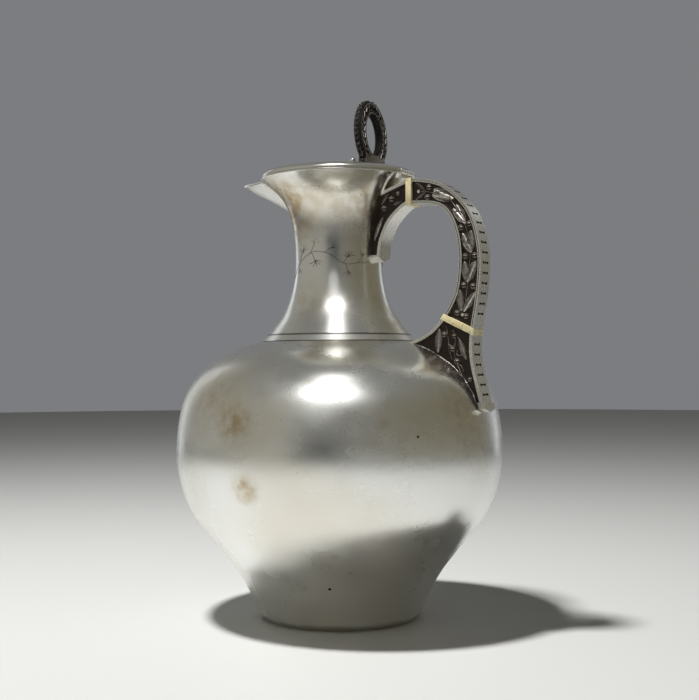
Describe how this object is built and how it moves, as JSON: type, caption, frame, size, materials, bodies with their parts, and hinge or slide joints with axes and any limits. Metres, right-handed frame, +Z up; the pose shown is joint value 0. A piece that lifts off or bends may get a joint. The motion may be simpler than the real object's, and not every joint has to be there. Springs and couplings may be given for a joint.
{
  "type": "coffee pot",
  "caption": "Bulb-shaped plated pot with a waisted neck, pulled beak, hinged cover with an open wreath, and a hollow loop handle set between pale insulators.",
  "frame": {"origin": "centre of the flat that the pot stands on", "axes": "+Z up along the pot's axis, +X towards the handle, -X towards the beak"},
  "size_m": [0.1473, 0.1456, 0.2288],
  "materials": {
    "silver_plate": "satin-polished silver plate with a warm, slightly hazy tarnish",
    "oxidised_silver": "cast silver plate, dark in the recesses and bright on the raised edges",
    "ivory": "yellowed ivory-coloured insulator with fine cracks"
  },
  "bodies": {
    "pot": {"body_shell": "silver_plate", "base_plate": "silver_plate", "neck_shell": "silver_plate", "beak": "silver_plate", "beak_wire": "silver_plate", "mouth_wire": "silver_plate", "upper_socket_outer_strap": "silver_plate", "upper_socket_inner_strap": "silver_plate", "upper_socket_plates": "silver_plate", "upper_socket_ornament": "oxidised_silver", "upper_insulator": "ivory", "upper_tenon": "ivory", "upper_tenon_pin": "silver_plate", "grip_outer_strap": "silver_plate", "grip_inner_strap": "silver_plate", "grip_plates": "silver_plate", "grip_end_caps": "silver_plate", "grip_ornament": "oxidised_silver", "lower_insulator": "ivory", "lower_tenon": "ivory", "lower_tenon_pin": "silver_plate", "lower_socket_outer_strap": "silver_plate", "lower_socket_inner_strap": "silver_plate", "lower_socket_plates": "silver_plate", "lower_socket_ornament": "oxidised_silver", "hinge_base": "silver_plate", "hinge_pin": "silver_plate"},
    "lid": {"hinge_cover_leaf": "silver_plate", "cover": "silver_plate", "cover_bezel": "silver_plate", "wreath": "oxidised_silver", "wreath_ornament": "oxidised_silver", "wreath_scroll": "silver_plate", "wreath_screw": "silver_plate", "wreath_nut": "silver_plate"}
  },
  "joints": [
    {"name": "lid_hinge", "type": "hinge", "parent": "pot", "child": "lid", "pos_m": [0.0341, 0, 0.19595], "axis": [0, 1, 0], "range_deg": [0, 105]}
  ]
}
